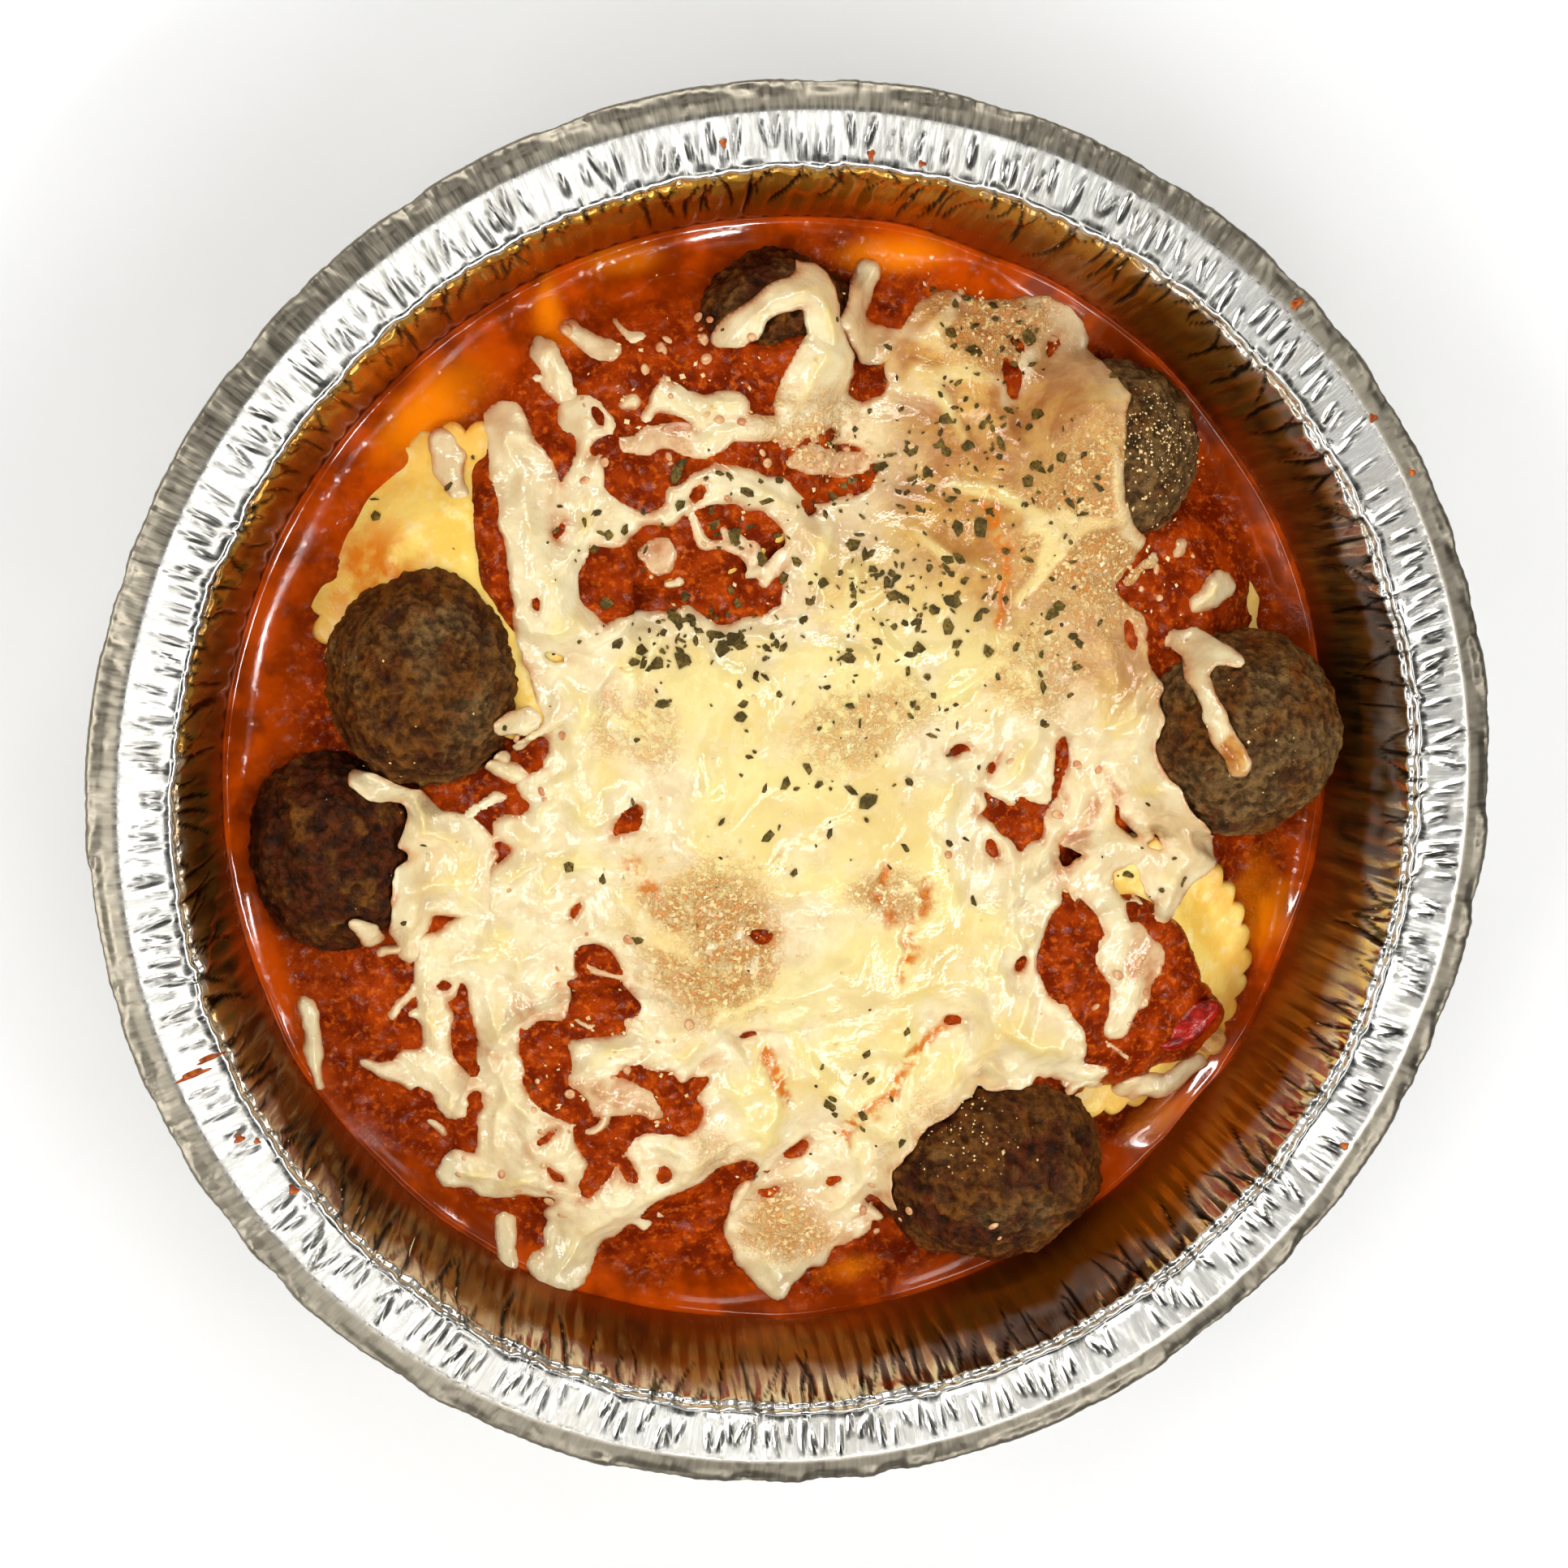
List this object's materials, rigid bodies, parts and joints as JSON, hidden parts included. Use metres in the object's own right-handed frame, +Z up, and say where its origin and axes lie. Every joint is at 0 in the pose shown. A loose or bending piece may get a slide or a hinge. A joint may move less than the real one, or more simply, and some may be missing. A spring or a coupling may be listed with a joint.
{
  "type": "ravioli with meatballs and melted cheese in a round foil pan",
  "caption": "Baked ravioli in tomato sauce with meatballs, melted cheese, chopped herbs and grated parmesan, in its round foil pan.",
  "frame": {"origin": "centre of the pan's base, on its underside", "axes": "+Z up out of the pan's mouth, +Y towards the top of the picture, +X towards its right"},
  "size_m": [0.2298, 0.2298, 0.0468],
  "materials": {
    "foil": "bright crimped foil with fine radial pleats on the ledge and wall",
    "meat": null,
    "pasta": null,
    "sauce": null,
    "cheese": null,
    "tomato": null,
    "onion": null
  },
  "bodies": {
    "root": {"foil_pan": "foil", "meatball_upper_left": "meat", "meatball_left": "meat", "meatball_bottom": "meat", "meatball_right": "meat", "meatball_upper_right": "meat", "meatball_top": "meat", "tomato_chunk": "tomato", "onion_chunk_right": "onion", "onion_chunk_middle": "onion", "raviolo_upper_left": "pasta", "raviolo_right": "pasta", "raviolo_top": "pasta", "raviolo_far_right": "pasta", "raviolo_bottom": "pasta", "raviolo_lower_right": "pasta", "sauce": "sauce", "cheese_sheet": "cheese", "cheese_left_patch": "cheese", "cheese_left_strip": "cheese", "cheese_left_scrap": "cheese", "cheese_upper_strip": "cheese", "cheese_upper_scrap": "cheese", "cheese_top_strand": "cheese", "cheese_top_loop": "cheese", "cheese_middle_strip": "cheese", "cheese_upper_dot": "cheese", "cheese_meatball_shred": "cheese", "cheese_lower_meatball_shred": "cheese", "cheese_meatball_strand": "cheese", "cheese_right_scrap": "cheese", "cheese_lower_right_strip": "cheese", "cheese_corner_scrap": "cheese", "cheese_bottom_prong": "cheese"}
  },
  "joints": []
}
